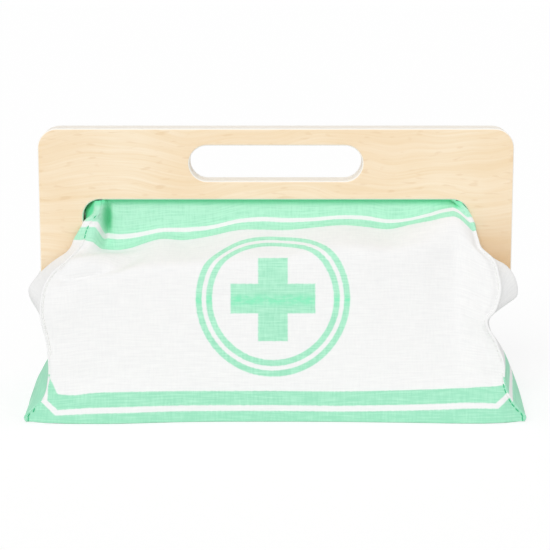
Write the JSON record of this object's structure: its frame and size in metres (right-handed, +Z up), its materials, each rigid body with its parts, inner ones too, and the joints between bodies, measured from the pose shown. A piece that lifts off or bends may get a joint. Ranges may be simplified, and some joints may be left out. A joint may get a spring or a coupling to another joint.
{
  "type": "toy doctor case",
  "caption": "Toy doctor case: a soft printed canvas bag that hangs between two plywood handle plates and opens when they are pulled apart.",
  "frame": {"origin": "on the floor under the middle of the case", "axes": "+X to the case's right along the handle, the front panel faces -Y, +Z up"},
  "size_m": [0.289, 0.1112, 0.165],
  "materials": {
    "birch_plywood": "sanded, clear matt lacquer",
    "beech_batten": "planed, unfinished",
    "printed_cotton": "slubbed plain weave canvas, printed in mint green",
    "green_cotton": "plain weave canvas in the print's mint green",
    "greyboard": "pressed grey board",
    "zinc_plated_steel": "zinc plated"
  },
  "bodies": {
    "base": {"bottom_panel": "printed_cotton", "base_board": "greyboard", "front_base_seam": "green_cotton", "rear_base_seam": "green_cotton", "left_base_seam": "green_cotton", "right_base_seam": "green_cotton"},
    "front": {"front_handle_plate": "birch_plywood", "front_panel": "printed_cotton", "front_hem": "green_cotton", "front_batten": "beech_batten", "front_batten_screws": "zinc_plated_steel", "front_left_gusset": "printed_cotton", "front_right_gusset": "printed_cotton", "front_left_side_seam": "printed_cotton", "front_right_side_seam": "printed_cotton"},
    "rear": {"rear_handle_plate": "birch_plywood", "rear_panel": "printed_cotton", "rear_hem": "green_cotton", "rear_batten": "beech_batten", "rear_batten_screws": "zinc_plated_steel", "rear_left_gusset": "printed_cotton", "rear_right_gusset": "printed_cotton", "rear_left_side_seam": "printed_cotton", "rear_right_side_seam": "printed_cotton"}
  },
  "joints": [
    {"name": "front_opening", "type": "hinge", "parent": "base", "child": "front", "pos_m": [0, -0.055, 0.001], "axis": [1, 0, 0], "range_deg": [0, 24]},
    {"name": "rear_opening", "type": "hinge", "parent": "base", "child": "rear", "pos_m": [0, 0.055, 0.001], "axis": [-1, 0, 0], "range_deg": [0, 24]}
  ]
}
